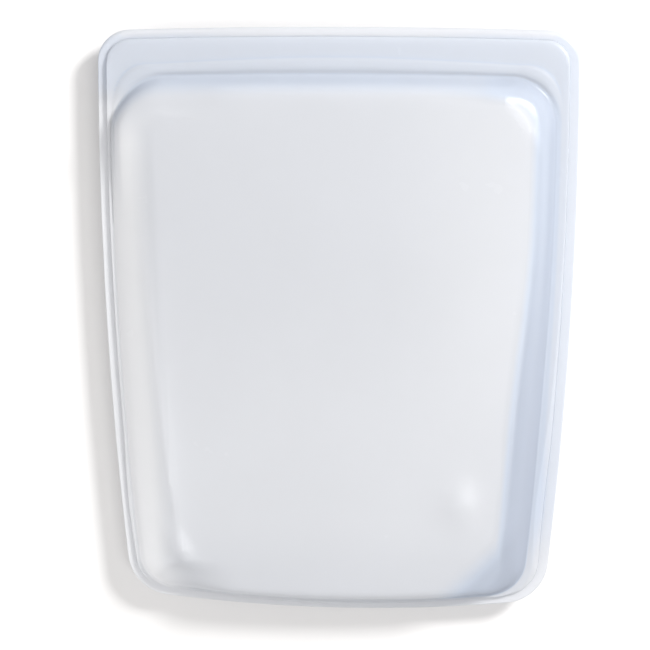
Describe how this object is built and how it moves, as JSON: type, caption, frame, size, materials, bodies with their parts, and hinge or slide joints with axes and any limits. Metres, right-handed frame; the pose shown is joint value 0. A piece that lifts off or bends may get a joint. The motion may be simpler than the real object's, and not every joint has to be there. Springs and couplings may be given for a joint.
{
  "type": "reusable silicone food bag",
  "caption": "Flat reusable food bag of milky clear silicone, with a press-together seal along the mouth, split grip lips and a shallow boxed-out pouch inside a flat fused rim.",
  "frame": {"origin": "middle of the bag's footprint, on the surface that it lies on", "axes": "+Y towards the mouth, +Z out of the front panel, and +X to the right of someone who looks at the front with the mouth up"},
  "size_m": [0.2096, 0.26, 0.0254],
  "materials": {
    "clear_silicone": "satin, milky clear",
    "rim_silicone": "satin, milky clear",
    "seal_silicone": "satin, milky clear"
  },
  "bodies": {
    "pouch": {"front_panel": "clear_silicone", "front_side_wall": "clear_silicone", "front_edge_flange": "rim_silicone", "front_left_corner": "rim_silicone", "front_right_corner": "rim_silicone", "front_left_channel_end": "seal_silicone", "front_right_channel_end": "seal_silicone", "back_panel": "clear_silicone", "back_side_wall": "clear_silicone", "back_edge_flange": "rim_silicone", "back_left_corner": "rim_silicone", "back_right_corner": "rim_silicone", "back_left_rib_end": "seal_silicone", "back_right_rib_end": "seal_silicone", "edge_seam": "rim_silicone"},
    "front_mouth": {"front_throat_wall": "clear_silicone", "front_seal_channel": "seal_silicone"},
    "front_lip": {"front_grip_lip": "rim_silicone"},
    "back_mouth": {"back_throat_wall": "clear_silicone", "back_seal_rib": "seal_silicone"},
    "back_lip": {"back_grip_lip": "rim_silicone"}
  },
  "joints": [
    {"name": "front_mouth_open", "type": "hinge", "parent": "pouch", "child": "front_mouth", "pos_m": [0, 0.098, 0.0254], "axis": [1, 0, 0], "range_deg": [0, 60], "stiffness_Nm_per_rad": 0.3, "springref_deg": -1.15},
    {"name": "front_lip_curl", "type": "hinge", "parent": "front_mouth", "child": "front_lip", "pos_m": [0, 0.1168, 0.0144], "axis": [1, 0, 0], "range_deg": [0, 60], "stiffness_Nm_per_rad": 0.05, "springref_deg": -1.15},
    {"name": "back_mouth_open", "type": "hinge", "parent": "pouch", "child": "back_mouth", "pos_m": [0, 0.098, 0], "axis": [-1, 0, 0], "range_deg": [0, 12], "stiffness_Nm_per_rad": 0.3, "springref_deg": -1.15},
    {"name": "back_lip_curl", "type": "hinge", "parent": "back_mouth", "child": "back_lip", "pos_m": [0, 0.1168, 0.011], "axis": [-1, 0, 0], "range_deg": [0, 20], "stiffness_Nm_per_rad": 0.05, "springref_deg": -1.15}
  ]
}
